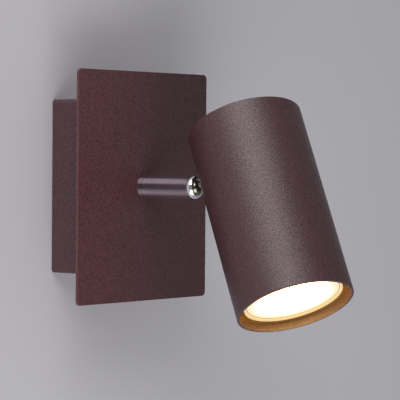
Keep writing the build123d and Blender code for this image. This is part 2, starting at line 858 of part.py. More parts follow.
pieces = {
    "wall_bracket": wall_bracket,
    "cable_grommet": cable_grommet,
    "terminal_block": terminal_block,
    "terminal_clamps": terminal_clamps,
    "terminal_screws": terminal_screws,
    "terminal_fixing_screw": terminal_fixing_screw,
    "earth_lug": earth_lug,
    "earth_screw": earth_screw,
    "back_box": back_box,
    "box_screws": box_screws,
    "front_plate": front_plate,
    "stem_base": stem_base,
    "stem_lock_washer": stem_lock_washer,
    "stem_nut": stem_nut,
    "wave_washer": wave_washer,
    "journal_clip": journal_clip,
    "base_leads": base_leads,
    "base_earth_lead": base_earth_lead,
    "swivel_washer": swivel_washer,
    "stem_tube": stem_tube,
    "stem_bush": stem_bush,
    "socket_cap": socket_cap,
    "ball_seat": ball_seat,
    "seat_spring": seat_spring,
    "spring_plug": spring_plug,
    "stem_leads": stem_leads,
    "joint_ball": joint_ball,
    "saddle_washer": saddle_washer,
    "shade": shade,
    "shade_top": shade_top,
    "lamp_bracket": lamp_bracket,
    "neck_lock_washer": neck_lock_washer,
    "neck_nut": neck_nut,
    "lamp_holder": lamp_holder,
    "holder_contacts": holder_contacts,
    "holder_screws": holder_screws,
    "lamp_rim": lamp_rim,
    "lamp_lens": lamp_lens,
    "lamp_body": lamp_body,
    "lamp_pins": lamp_pins,
    "head_earth_lug": head_earth_lug,
    "head_earth_screw": head_earth_screw,
    "head_leads": head_leads,
    "head_earth_lead": head_earth_lead,
}
for name, piece in pieces.items():
    piece.part.label = name
    export_step(piece.part, f"parts/{name}.step")
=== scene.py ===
from math import cos, radians, sin

import bmesh
import bpy
import numpy as np
from mathutils import Matrix, Vector


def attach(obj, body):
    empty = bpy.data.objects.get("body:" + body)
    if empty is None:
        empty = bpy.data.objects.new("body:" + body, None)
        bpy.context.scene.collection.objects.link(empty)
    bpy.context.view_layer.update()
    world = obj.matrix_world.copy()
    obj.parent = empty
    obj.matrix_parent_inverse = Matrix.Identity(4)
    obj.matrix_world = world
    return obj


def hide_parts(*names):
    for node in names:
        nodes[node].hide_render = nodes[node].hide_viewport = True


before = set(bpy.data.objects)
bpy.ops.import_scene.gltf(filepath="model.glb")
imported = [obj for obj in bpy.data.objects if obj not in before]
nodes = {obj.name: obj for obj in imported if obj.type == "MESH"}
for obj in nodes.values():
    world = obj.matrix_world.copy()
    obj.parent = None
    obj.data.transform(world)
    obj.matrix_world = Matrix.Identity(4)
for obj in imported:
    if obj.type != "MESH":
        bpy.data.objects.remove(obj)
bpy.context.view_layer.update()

view = {
    "azimuth": -51.98,  # degrees round the light, from the left
    "elevation": 1.366,
    "roll": 0.437,
    "distance": 1.16869,  # metres from the aim point
    "aim": (0.08703, 0.0, -0.00901),
    "focalPixels": 2063.0,  # for a picture 400 pixels wide
    "pictureWidth": 400,
    "sensor": 36.0,
}


def addCamera():
    a, e, r = (radians(view[key]) for key in ("azimuth", "elevation", "roll"))
    back = Vector((sin(a) * cos(e), -cos(a) * cos(e), sin(e)))
    right = Vector((cos(a), sin(a), 0))
    up = back.cross(right)
    across = right * cos(r) + up * sin(r)
    upward = up * cos(r) - right * sin(r)
    data = bpy.data.cameras.new("camera")
    data.sensor_width = view["sensor"]
    data.lens = view["focalPixels"] / view["pictureWidth"] * view["sensor"]
    data.clip_start = 0.01
    camera = bpy.data.objects.new("camera", data)
    turn = Matrix((across, upward, back)).transposed().to_4x4()
    camera.matrix_world = Matrix.Translation(Vector(view["aim"]) + back * view["distance"]) @ turn
    bpy.context.scene.collection.objects.link(camera)
    bpy.context.scene.camera = camera


addCamera()
print("camera placed")


def linear(hexColour):  # sRGB hex to linear RGBA
    parts = np.array([int(hexColour[i : i + 2], 16) for i in (1, 3, 5)]) / 255
    low = parts <= 0.04045
    return (*np.where(low, parts / 12.92, ((parts + 0.055) / 1.055) ** 2.4).tolist(), 1.0)


def addNode(tree, kind, links=None, values=None, **settings):  # one node with its settings, links and values
    node = tree.nodes.new("ShaderNode" + kind)
    for name, value in settings.items():
        setattr(node, name, value)
    for name, value in (values or {}).items():
        node.inputs[name].default_value = value
    for name, source in (links or {}).items():
        tree.links.new(source, node.inputs[name])
    return node


def newSurface(name, values):  # a material whose constants stand on the shader's own sockets
    material = bpy.data.materials.new(name)
    material.use_nodes = True
    tree = material.node_tree
    surface = tree.nodes["Principled BSDF"]
    for socket, value in values.items():
        surface.inputs[socket].default_value = linear(value) if isinstance(value, str) else value
    return material, tree, surface


room = {
    "wallColour": "#c6c4ca",
    "floorColour": "#c6c5c8",
    "wallSize": 5.0,
    "floorDrop": 1.5,  # the light hangs this far above the floor
    "wallBehind": 0.0006,  # metres behind the box, so that the two faces don't flicker
    "roughness": 0.9,
    "worldColour": "#ffffff",
    "worldStrength": 0.24,
}


def addRoom():
    half = room["wallSize"] / 2
    y, z = room["wallBehind"], -room["floorDrop"]
    sheets = {
        "wall": [(-half, y, z), (half, y, z), (half, y, half), (-half, y, half)],
        "floor": [(-half, -2 * half, z), (half, -2 * half, z), (half, half, z), (-half, half, z)],
    }
    for name, corners in sheets.items():
        mesh = bpy.data.meshes.new(name)
        mesh.from_pydata(corners, [], [(0, 1, 2, 3)])
        sheet = bpy.data.objects.new(name, mesh)
        bpy.context.scene.collection.objects.link(sheet)
        material, tree, surface = newSurface(
            name + " matt emulsion, rolled", {"Roughness": room["roughness"], "Base Color": room[name + "Colour"]}
        )
        mesh.materials.append(material)
        if name == "wall":  # the wall shows and mirrors from the room side only, and lets the lamps' light by
            path = addNode(tree, "LightPath").outputs
            seen = addNode(tree, "Math", {0: path["Is Camera Ray"], 1: path["Is Glossy Ray"]}, operation="MAXIMUM")
            behind = addNode(tree, "NewGeometry").outputs["Backfacing"]
            front = addNode(tree, "Math", {1: behind}, {0: 1.0}, operation="SUBTRACT")
            shown = addNode(tree, "Math", {0: seen.outputs[0], 1: front.outputs[0]}, operation="MULTIPLY")
            clear = addNode(tree, "BsdfTransparent").outputs[0]
            mix = addNode(tree, "MixShader", {0: shown.outputs[0], 1: clear, 2: surface.outputs[0]})
            tree.links.new(mix.outputs[0], tree.nodes["Material Output"].inputs["Surface"])
    world = bpy.data.worlds.new("soft room")
    world.use_nodes = True
    background = world.node_tree.nodes["Background"]
    background.inputs["Color"].default_value = linear(room["worldColour"])
    background.inputs["Strength"].default_value = room["worldStrength"]
    bpy.context.scene.world = world


softboxes = {  # way from the light fitting, metres away, metres wide, watts
    "upperLeft": {"way": (-0.58, -0.22, 0.78), "distance": 1.6, "size": 1.4, "watts": 28.0},
    "lowerLeft": {"way": (-0.47, -0.48, -0.66), "distance": 1.5, "size": 1.2, "watts": 17.0},
    "wallBounce": {"way": (0.35, 0.92, 0.2), "distance": 1.6, "size": 1.6, "watts": 9.0},  # what the wall sends back
}


def addSoftboxes():
    for name, box in softboxes.items():
        data = bpy.data.lights.new(name, "AREA")
        data.shape = "SQUARE"
        data.size = box["size"]
        data.energy = box["watts"]
        lamp = bpy.data.objects.new(name, data)
        lamp.visible_camera = False
        way = Vector(box["way"]).normalized()
        facing = way.to_track_quat("Z", "Y").to_matrix().to_4x4()
        lamp.matrix_world = Matrix.Translation(way * box["distance"]) @ facing
        bpy.context.scene.collection.objects.link(lamp)


addRoom()
addSoftboxes()
bpy.context.scene.view_settings.view_transform = "Standard"
print("room and softboxes placed")

powderCoat = {
    "deep": "#241114",
    "warm": "#56373c",
    "grain": 0.00055,  # metres; real grit is about 0.1 mm, drawn coarser so that it shows
    "roughness": 0.37,
    "glint": 0.1,  # how much smoother the pale grit is than the dark
    "gloss": 0.58,
    "bump": 0.9,
    "bumpHigh": 0.00022,  # metres
    "gritFrom": 0.36,  # the part of the noise that runs from the deep to the warm colour
    "gritTo": 0.64,
}
# Painted light: the plate's copy of the powder coat has a lighter deep colour than the body's, for the light the plate
# catches
plateCoat = {
    **powderCoat,
    "deep": "#321c1f",
    "warm": "#54363a",
    "gloss": 0.5,
    "paintedLightRed": "#703f43",  # painted light: the plate turns lighter and redder towards its left edge, where more light falls
    "paintedLightFrom": -0.0525,
    "paintedLightTo": 0.03,
    "paintedLightMost": 0.8,
}


def sprayPowder(name, settings):
    # Fine-grained powder coat, sprayed and baked: a dull broad gloss broken by a grain of grit
    material, tree, surface = newSurface(name, {"Specular IOR Level": settings["gloss"]})
    place = addNode(tree, "TexCoord").outputs["Object"]
    grit = addNode(
        tree, "TexNoise", {"Vector": place}, {"Scale": 1 / settings["grain"], "Detail": 3.0, "Roughness": 0.65}
    ).outputs[0]
    span = {"From Min": settings["gritFrom"], "From Max": settings["gritTo"]}
    speck = addNode(tree, "MapRange", {"Value": grit}, span).outputs[0]
    ends = {6: linear(settings["deep"]), 7: linear(settings["warm"])}
    colour = addNode(tree, "Mix", {0: speck}, ends, data_type="RGBA").outputs[2]
    # Painted light: where the settings ask for it, the colour turns lighter and redder towards one edge, for light
    # falling more strongly there
    if "paintedLightRed" in settings:
        across = addNode(tree, "SeparateXYZ", {0: place}).outputs[0]
        span = {"From Min": settings["paintedLightTo"], "From Max": settings["paintedLightFrom"], "To Max": settings["paintedLightMost"]}
        paintedLightLean = addNode(tree, "MapRange", {"Value": across}, span, interpolation_type="SMOOTHSTEP").outputs[0]
        paintedLightPatch = addNode(tree, "Math", {0: paintedLightLean, 1: speck}, operation="MULTIPLY").outputs[0]
        colour = addNode(
            tree, "Mix", {0: paintedLightPatch, 6: colour}, {7: linear(settings["paintedLightRed"])}, data_type="RGBA"
        ).outputs[2]
    tree.links.new(colour, surface.inputs["Base Color"])
    middle, glint = settings["roughness"], settings["glint"]
    swing = {"To Min": middle + glint, "To Max": middle - glint}
    rough = addNode(tree, "MapRange", {"Value": speck}, swing).outputs[0]
    tree.links.new(rough, surface.inputs["Roughness"])
    press = {"Strength": settings["bump"], "Distance": settings["bumpHigh"]}
    bump = addNode(tree, "Bump", {"Height": grit}, press).outputs[0]
    tree.links.new(bump, surface.inputs["Normal"])
    return material


stemLacquer = {
    "deep": "#736469",
    "warm": "#80717b",
    "metal": 0.9,
    "roughness": 0.42,
    "turned": 1.0,  # how far the gloss is drawn out along the stem
    "wear": 0.02,  # how far the roughness swings from mark to mark
    "ring": 0.0009,  # metres from one turning mark to the next; real ones are 0.1 mm, drawn coarser so that they show
    "drawnRound": 0.02,  # below 1 the marks are drawn out round the stem
}


def lacquerOverTurning():
    # Thin coffee lacquer over turned brass: fine rings from the lathe draw the gloss into long bands
    settings = stemLacquer
    values = {"Metallic": settings["metal"], "Anisotropic": settings["turned"], "Anisotropic Rotation": 0.25}
    material, tree, surface = newSurface("coffee lacquer on turned brass", values)
    place = addNode(tree, "TexCoord").outputs["Object"]
    stretch = (settings["drawnRound"], 1.0, settings["drawnRound"])
    along = addNode(tree, "Mapping", {"Vector": place}, {"Scale": stretch}).outputs[0]
    marks = addNode(tree, "TexNoise", {"Vector": along}, {"Scale": 1 / settings["ring"], "Detail": 2.0}).outputs[0]
    ends = {6: linear(settings["deep"]), 7: linear(settings["warm"])}
    colour = addNode(tree, "Mix", {0: marks}, ends, data_type="RGBA").outputs[2]
    tree.links.new(colour, surface.inputs["Base Color"])
    middle, wear = settings["roughness"], settings["wear"]
    rough = addNode(tree, "MapRange", {"Value": marks}, {"To Min": middle - wear, "To Max": middle + wear}).outputs[0]
    tree.links.new(rough, surface.inputs["Roughness"])
    ring = addNode(tree, "Tangent", direction_type="RADIAL", axis="Y").outputs[0]
    tree.links.new(ring, surface.inputs["Tangent"])
    return material


metals = {
    # Bright chrome plate over polished brass: a hard mirror with only hair-thin polishing marks
    "chrome": {
        "name": "bright chrome plate on polished brass", "colour": "#e4e5e8",
        "rough": 0.05, "spread": 0.03, "grain": 0.002,
    },
    # Polished nickel over turned brass: a barely softened mirror, darker and browner than the chrome beside it, partly
    # as painted shade for the ball deep in the socket's mouth
    "nickel": {
        "name": "polished nickel plate on turned brass", "colour": "#7b776e",
        "rough": 0.11, "spread": 0.04, "grain": 0.0006,
    },
    # Blue-passivated zinc on pressed steel: a dull cold sheen that clouds from place to place
    "zinc": {
        "name": "blue zinc plate on pressed steel", "colour": "#b4b8bd",
        "rough": 0.36, "spread": 0.09, "grain": 0.002,
    },
    # Bare brass off the lathe: a warm satin gloss with fine marks
    "brass": {"name": "bare brass, turned", "colour": "#c9a45c", "rough": 0.3, "spread": 0.08, "grain": 0.001},
    # Tinned copper, stamped: a soft grey gloss, a little uneven where the tin pooled
    "tin": {"name": "tinned copper, stamped", "colour": "#c4c3bd", "rough": 0.32, "spread": 0.08, "grain": 0.001},
}
leastRough = 0.02
markHigh = 0.00003  # metres, the depth of a polishing or turning mark
markMost = 0.3  # the bump grows with the roughness up to here


def platedMetal(kind):
    settings = metals[kind]
    material, tree, surface = newSurface(settings["name"], {"Metallic": 1.0, "Base Color": settings["colour"]})
    place = addNode(tree, "TexCoord").outputs["Object"]
    marks = addNode(tree, "TexNoise", {"Vector": place}, {"Scale": 1 / settings["grain"], "Detail": 3.0}).outputs[0]
    wear = {
        "To Min": max(settings["rough"] - settings["spread"], leastRough),
        "To Max": settings["rough"] + settings["spread"],
    }
    rough = addNode(tree, "MapRange", {"Value": marks}, wear).outputs[0]
    tree.links.new(rough, surface.inputs["Roughness"])
    if kind != "chrome":  # the mirror stays smooth
        press = {"Strength": min(settings["rough"], markMost), "Distance": markHigh}
        bump = addNode(tree, "Bump", {"Height": marks}, press).outputs[0]
        tree.links.new(bump, surface.inputs["Normal"])
    return material


skins = {
    # Black rubber, moulded: nearly dead matt with a faint bloom
    "rubber": {
        "name": "black rubber, moulded", "first": "#1b1b1c", "second": "#29292a",
        "rough": 0.62, "grain": 0.0012,
    },
    # White polyamide, moulded: a soft gloss and a slightly cloudy white
    "block": {
        "name": "white polyamide, moulded", "first": "#d4d3cc", "second": "#e4e3de",
        "rough": 0.45, "grain": 0.0015,
    },
    # Natural nylon, turned: milky and waxy
    "nylon": {"name": "natural nylon, turned", "first": "#d8d4c4", "second": "#e8e5da", "rough": 0.4, "grain": 0.0008},
    # Steatite, glazed: a wet gloss over a warm white body
    "ceramic": {"name": "steatite, glazed", "first": "#e2dccd", "second": "#f2eee4", "rough": 0.18, "grain": 0.003},
    # Lamp housing, moulded: a clean even white
    "lamp": {
        "name": "white lamp housing, moulded", "first": "#e2e0da", "second": "#f0efea",
        "rough": 0.35, "grain": 0.002,
    },
}
skinWear = 0.05  # how far a moulded or extruded skin's roughness swings
skinBump = {"Strength": 0.15, "Distance": 0.00005}


def mouldedSkin(kind):
    settings = skins[kind]
    material, tree, surface = newSurface(settings["name"], {})
    place = addNode(tree, "TexCoord").outputs["Object"]
    cloud = addNode(tree, "TexNoise", {"Vector": place}, {"Scale": 1 / settings["grain"], "Detail": 2.0}).outputs[0]
    ends = {6: linear(settings["first"]), 7: linear(settings["second"])}
    colour = addNode(tree, "Mix", {0: cloud}, ends, data_type="RGBA").outputs[2]
    tree.links.new(colour, surface.inputs["Base Color"])
    wear = {"To Min": settings["rough"] - skinWear, "To Max": settings["rough"] + skinWear}
    rough = addNode(tree, "MapRange", {"Value": cloud}, wear).outputs[0]
    tree.links.new(rough, surface.inputs["Roughness"])
    bump = addNode(tree, "Bump", {"Height": cloud}, skinBump).outputs[0]
    tree.links.new(bump, surface.inputs["Normal"])
    return material


leadSkin = {
    "brown": "#5a3a22",
    "blue": "#2f5fa8",
    "green": "#2f8a3c",
    "yellow": "#d9c72e",
    "roughness": 0.42,
    "cloud": 1 / 700,  # metres from one dull patch to the next
}


def extrudedSkin(name, first, second, coordinate, way, share=0.0):
    # Soft plastic lead skin, extruded: smooth, with a low waxy gloss. The second colour shows where the coordinate
    # along the way is more than the share, so two leads, or two sides of one, differ in colour
    material, tree, surface = newSurface(name, {})
    coord = addNode(tree, "TexCoord").outputs
    side = addNode(tree, "VectorMath", {0: coord[coordinate]}, {1: way}, operation="DOT_PRODUCT").outputs["Value"]
    cut = addNode(tree, "Math", {0: side}, {1: share}, operation="GREATER_THAN").outputs[0]
    ends = {6: linear(leadSkin[first]), 7: linear(leadSkin[second])}
    colour = addNode(tree, "Mix", {0: cut}, ends, data_type="RGBA").outputs[2]
    tree.links.new(colour, surface.inputs["Base Color"])
    grain = {"Scale": 1 / leadSkin["cloud"], "Detail": 2.0}
    cloud = addNode(tree, "TexNoise", {"Vector": coord["Object"]}, grain).outputs[0]
    wear = {"To Min": leadSkin["roughness"] - skinWear, "To Max": leadSkin["roughness"] + skinWear}
    rough = addNode(tree, "MapRange", {"Value": cloud}, wear).outputs[0]
    tree.links.new(rough, surface.inputs["Roughness"])
    return material


finishes = {kind: platedMetal(kind) for kind in metals}
finishes.update({kind: mouldedSkin(kind) for kind in skins})
finishes["plate"] = sprayPowder("coffee powder coat on steel plate", plateCoat)
finishes["body"] = sprayPowder("coffee powder coat on pressed steel", powderCoat)
finishes["stem"] = lacquerOverTurning()
finishes["lead"] = extrudedSkin("brown and blue lead skins, extruded", "brown", "blue", "Object", (1, 0, 0))
finishes["headLead"] = extrudedSkin(
    "brown and blue head lead skins, extruded", "brown", "blue", "Object", (0.978, 0, -0.208)
)
finishes["earth"] = extrudedSkin(
    "green and yellow lead skin, extruded", "green", "yellow", "Normal", (0.5, 0.3, 0.81), share=0.25
)
print("finishes mixed:", len(finishes))

head = {  # how the head stands in the photo
    "ball": (0.0, -0.0648, 0.0),
    "swivel": 12.0,  # degrees round the stem
    "tilt": 27.0,  # degrees up from the stem's way
    "shadeAlong": 0.0381589,  # metres from the ball's centre to the shade's axis, along the neck
}
swivel, tilt = radians(head["swivel"]), radians(head["tilt"])
neckWay = np.array((sin(swivel) * sin(tilt), -cos(tilt), cos(swivel) * sin(tilt)))
shadeUp = np.array((sin(swivel) * cos(tilt), sin(tilt), cos(swivel) * cos(tilt)))
ballCentre = np.array(head["ball"])
shadeFoot = ballCentre + neckWay * head["shadeAlong"]  # where the shade's axis meets the neck's
outWay = np.array((0.0, -1.0, 0.0))


def roundCorners(corners, cut, steps=4):
    # Each corner of the profile becomes a short curve that leaves one side and joins the next, "cut" away from it
    corner = np.asarray(corners, float)
    before, after = np.roll(corner, 1, axis=0), np.roll(corner, -1, axis=0)
    toBefore, toAfter = before - corner, after - corner
    lengthBefore = np.linalg.norm(toBefore, axis=1, keepdims=True)
    lengthAfter = np.linalg.norm(toAfter, axis=1, keepdims=True)
    longest = 1 / 2.05  # share of a side, so that two curves never meet on it
    start = corner + toBefore / lengthBefore * np.minimum(cut, lengthBefore * longest)
    end = corner + toAfter / lengthAfter * np.minimum(cut, lengthAfter * longest)
    u = np.linspace(0, 1, steps + 1)[None, :, None]
    curve = (1 - u) ** 2 * start[:, None] + 2 * u * (1 - u) * corner[:, None] + u**2 * end[:, None]
    return curve.reshape(-1, 2)


def turnRound(profile, place, way, steps=96, start=0.0):
    # Every profile point (radius, height) goes round the line through "place" along "way":
    # place + height * way + radius * (cos turn * across + sin turn * aside)
    way = np.asarray(way, float) / np.linalg.norm(way)
    across = np.cross(way, (1.0, 0.0, 0.0) if abs(way[0]) < 0.9 else (0.0, 0.0, 1.0))
    across /= np.linalg.norm(across)
    aside = np.cross(way, across)
    turn = start + np.linspace(0, 2 * np.pi, steps, endpoint=False)
    radius, height = np.broadcast_arrays(profile[..., 0], profile[..., 1])
    if radius.ndim == 1:
        radius, height = radius[:, None], height[:, None]
    ring = np.cos(turn)[None, :, None] * across + np.sin(turn)[None, :, None] * aside
    return np.asarray(place) + height[..., None] * way + radius[..., None] * ring


mergeWithin = 2e-7  # metres
sharpFrom = 32  # degrees between two faces, from which their edge shows


def makePiece(name, surfaces, body, finish, replaces):
    # Each surface is a grid of points, rows along the profile and columns round it, joined into quads;
    # a ring profile also joins its last row to its first, and a pole's repeated points are merged
    points, faces, first = [], [], 0
    for grid, ringProfile in surfaces:
        rows, columns = grid.shape[:2]
        spot = first + np.arange(rows * columns).reshape(rows, columns)
        here = spot if ringProfile else spot[:-1]
        there = np.roll(spot, -1, axis=0)[: len(here)]
        quads = np.stack((here, np.roll(here, -1, axis=1), np.roll(there, -1, axis=1), there), axis=-1).reshape(-1, 4)
        flat = grid.reshape(-1, 3)
        a, b, c, d = (flat[quads[:, k] - first] - flat.mean(axis=0) for k in range(4))
        volume = np.sum(a * np.cross(b, c)) + np.sum(a * np.cross(c, d))  # below zero where the surface is inside out
        points.append(flat)
        faces.append(quads if volume > 0 else quads[:, ::-1])
        first += rows * columns
    mesh = bpy.data.meshes.new(name)
    mesh.from_pydata(np.concatenate(points).tolist(), [], np.concatenate(faces).tolist())
    merged = bmesh.new()
    merged.from_mesh(mesh)
    bmesh.ops.remove_doubles(merged, verts=merged.verts, dist=mergeWithin)
    merged.to_mesh(mesh)
    merged.free()
    mesh.polygons.foreach_set("use_smooth", [True] * len(mesh.polygons))
    mesh.set_sharp_from_angle(angle=radians(sharpFrom))
    mesh.materials.append(finish)
    piece = bpy.data.objects.new(name, mesh)
    bpy.context.scene.collection.objects.link(piece)
    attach(piece, body)
    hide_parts(replaces)
    return piece


lampGlow = {
    "middle": (1.0, 0.62, 0.16),  # linear, warm white
    "strength": 26.0,
    "cream": (0.0355, 0.0295, 0.0195),  # the edge, as a share of the strength
    "amber": (0.0145, 0.0082, 0.0032),
    "hotEdge": 0.0125,  # metres from the axis where the glow starts to fall
    "creamFrom": 0.0217,
    "ringAt": 0.0235,
    "ringWide": 0.0006,
    "unlit": "#5c564a",
    "roughness": 0.3,
    "ior": 1.58,
}


def litLens(name, face):
    # Frosted polycarbonate, lit from behind: white-hot in the middle, cream at its edge, with a dark moulding ring
    glow = lampGlow
    values = {"Roughness": glow["roughness"], "IOR": glow["ior"], "Base Color": glow["unlit"]}
    material, tree, surface = newSurface(name, {**values, "Emission Strength": glow["strength"]})
    place = addNode(tree, "TexCoord").outputs["Object"]
    away = addNode(tree, "VectorMath", {0: place}, {1: face}, operation="DISTANCE").outputs["Value"]
    span = {"From Min": glow["hotEdge"], "From Max": glow["creamFrom"]}
    fall = addNode(tree, "MapRange", {"Value": away}, span, interpolation_type="SMOOTHSTEP").outputs[0]
    ends = {6: (*glow["middle"], 1.0), 7: (*glow["cream"], 1.0)}
    colour = addNode(tree, "Mix", {0: fall}, ends, data_type="RGBA").outputs[2]
    off = addNode(tree, "Math", {0: away}, {1: glow["ringAt"]}, operation="SUBTRACT").outputs[0]
    near = addNode(tree, "Math", {0: off}, operation="ABSOLUTE").outputs[0]
    span = {"From Min": glow["ringWide"], "From Max": 0.0}
    ring = addNode(tree, "MapRange", {"Value": near}, span, interpolation_type="SMOOTHSTEP").outputs[0]
    colour = addNode(tree, "Mix", {0: ring, 6: colour}, {7: (*glow["amber"], 1.0)}, data_type="RGBA").outputs[2]
    tree.links.new(colour, surface.inputs["Emission Color"])
    return material


lensShape = {
    "face": -0.0805,  # metres up the shade from the neck; below is outwards
    "back": -0.0786,
    "radius": 0.02396,
    "dome": 0.0004,
    "ripple": 0.00004,
    "ripplePitch": 0.0013,
    "rippleTo": 0.0205,
    "grooveAt": 0.0231,
    "grooveDeep": 0.0002,
    "grooveWide": 0.0004,
}


def makeLens():
    # The face's height is a shallow dome, plus a cosine ripple in the distance from the axis, plus a groove at the edge
    shape = lensShape
    r = np.linspace(0, shape["radius"], 150)
    face = shape["face"] + shape["dome"] * (r / shape["radius"]) ** 2
    face += shape["ripple"] * (1 - np.cos(2 * np.pi * r / shape["ripplePitch"])) * (r < shape["rippleTo"])
    face += shape["grooveDeep"] * np.exp(-(((r - shape["grooveAt"]) / shape["grooveWide"]) ** 2))
    front = np.stack((r, face), axis=1)
    back = np.array([(shape["radius"], shape["back"]), (shape["radius"] / 2, shape["back"]), (0, shape["back"])])
    grid = turnRound(np.concatenate((front, back)), shadeFoot, shadeUp, steps=128)
    finish = litLens("frosted polycarbonate lens, moulded and lit", tuple(shadeFoot + shadeUp * shape["face"]))
    makePiece("lampLens", [(grid, False)], "head", finish, "lamp_lens")


rimShape = {
    "face": -0.0811,
    "back": -0.0751,
    "outer": 0.025,
    "bore": 0.024,
    "round": 0.00035,
    "beadAt": -0.0779,
    "beadDeep": 0.0002,
    "beadHalf": 0.0004,
    "faceGlow": (0.66, 0.48, 0.23),  # linear, as strong as they stand
    "sideGlow": (3.5, 1.72, 0.22),
    "sideFrom": 0.0007,  # metres behind the face, where the side's glow begins
    "sideFull": 0.0014,
    "unlit": "#6e6757",
    "roughness": 0.35,
}


def litRim():
    # Opal lamp edge, moulded: light creeps through it, soft cream on the face and strong on the side inside the shade
    values = {"Roughness": rimShape["roughness"], "Base Color": rimShape["unlit"], "Emission Strength": 1.0}
    material, tree, surface = newSurface("opal lamp rim, moulded and lit", values)
    place = addNode(tree, "TexCoord").outputs["Object"]
    down = addNode(tree, "VectorMath", {0: place}, {1: tuple(-shadeUp)}, operation="DOT_PRODUCT").outputs["Value"]
    lip = float(np.dot(shadeFoot, -shadeUp)) - rimShape["face"]
    span = {"From Min": lip - rimShape["sideFull"], "From Max": lip - rimShape["sideFrom"]}
    face = addNode(tree, "MapRange", {"Value": down}, span, interpolation_type="SMOOTHSTEP").outputs[0]
    ends = {6: (*rimShape["sideGlow"], 1.0), 7: (*rimShape["faceGlow"], 1.0)}
    colour = addNode(tree, "Mix", {0: face}, ends, data_type="RGBA").outputs[2]
    tree.links.new(colour, surface.inputs["Emission Color"])
    return material


def makeRim():
    # A band with rounded lips and one shallow bead round its outside, turned about the shade's axis
    shape = rimShape
    corners = [
        (shape["bore"], shape["back"]),
        (shape["bore"], shape["face"]),
        (shape["outer"], shape["face"]),
        (shape["outer"], shape["beadAt"] - shape["beadHalf"]),
        (shape["outer"] - shape["beadDeep"], shape["beadAt"]),
        (shape["outer"], shape["beadAt"] + shape["beadHalf"]),
        (shape["outer"], shape["back"]),
    ]
    grid = turnRound(roundCorners(corners, shape["round"]), shadeFoot, shadeUp, steps=128)
    makePiece("lampRim", [(grid, True)], "head", litRim(), "lamp_rim")


makeLens()
makeRim()
print("lamp face made")

screws = {  # seats: where the head's underside sits, which way it faces, and its turn; sizes in metres
    "boxScrews": {
        "node": "box_screws", "body": "wall_side", "slot": "brown_paint", "finish": "body",
        "recess": "cross", "dome": 0.6, "head": 0.0036, "high": 0.0022,
        "radius": 0.002, "length": 0.006, "pitch": 0.0007,
        "seats": [((0, -0.012, 0.045), (0, 0, 1), 0.5), ((0, -0.012, -0.045), (0, 0, -1), 1.1)],
    },
    "earthScrew": {
        "node": "earth_screw", "body": "wall_side", "slot": "zinc_steel", "finish": "zinc",
        "recess": "cross", "dome": 0.4, "head": 0.0029, "high": 0.002,
        "radius": 0.002, "length": 0.0021, "pitch": 0.0007,
        "seats": [((-0.0075, -0.0021, 0.003), (0, -1, 0), 0.3)],
    },
    "terminalScrews": {
        "node": "terminal_screws", "body": "wall_side", "slot": "zinc_steel", "finish": "zinc",
        "recess": "slot", "dome": 0.1, "head": 0.0017, "high": 0.0014,
        "radius": 0.0012, "length": 0.00175, "pitch": 0.0005,
        "seats": [
            ((x, -0.0095, z), (0, -1, 0), 0.4 + 90 * x + 40 * z) for x in (-0.005, 0.005) for z in (-0.0205, -0.0115)
        ],
    },
    "blockScrew": {
        "node": "terminal_fixing_screw", "body": "wall_side", "slot": "zinc_steel", "finish": "zinc",
        "recess": "cross", "dome": 0.3, "head": 0.0027, "high": 0.0018,
        "radius": 0.0015, "length": 0.0105, "pitch": 0.0005,
        "seats": [((0, -0.0105, -0.016), (0, -1, 0), 0.2)],
    },
    "holderScrews": {
        "node": "holder_screws", "body": "head", "slot": "zinc_steel", "finish": "zinc",
        "recess": "cross", "dome": 0.4, "head": 0.0026, "high": 0.0018,
        "radius": 0.0015, "length": 0.006, "pitch": 0.0005,
        "seats": [(shadeFoot + neckWay * side * 0.0105 + shadeUp * -0.0147, shadeUp, 0.4 * side) for side in (-1, 1)],
    },
    "headEarthScrew": {
        "node": "head_earth_screw", "body": "head", "slot": "zinc_steel", "finish": "zinc",
        "recess": "cross", "dome": 0.4, "head": 0.0026, "high": 0.0018,
        "radius": 0.0015, "length": 0.0031, "pitch": 0.0005,
        "seats": [(ballCentre + neckWay * 0.0205 + shadeUp * -0.0141, shadeUp, 0.9)],
    },
}
screwForm = {
    "steps": 72,  # round the screw
    "topRows": 26,
    "topWide": 0.96,  # shares of the head's radius, down to the soft edge
    "armHalf": 0.13,
    "crossReach": 0.6,
    "slotReach": 2.0,
    "softEdge": 0.07,
    "domeRound": 0.94,
    "deep": 0.5,  # share of the head's height
    "deepFrom": 1.3,  # the recess grows shallower outwards from here
    "shallower": 0.6,
    "rim": [(0.985, 0.9), (1.0, 0.75), (1.0, 0.0)],  # shares of the head's radius and of its edge's height
    "rowsPerPitch": 8,
    "leastRows": 12,
    "threadWide": 0.995,  # shares of the thread's radius
    "ridge": 0.13,
    "tipLong": 0.4,
    "tipWide": 0.75,
}


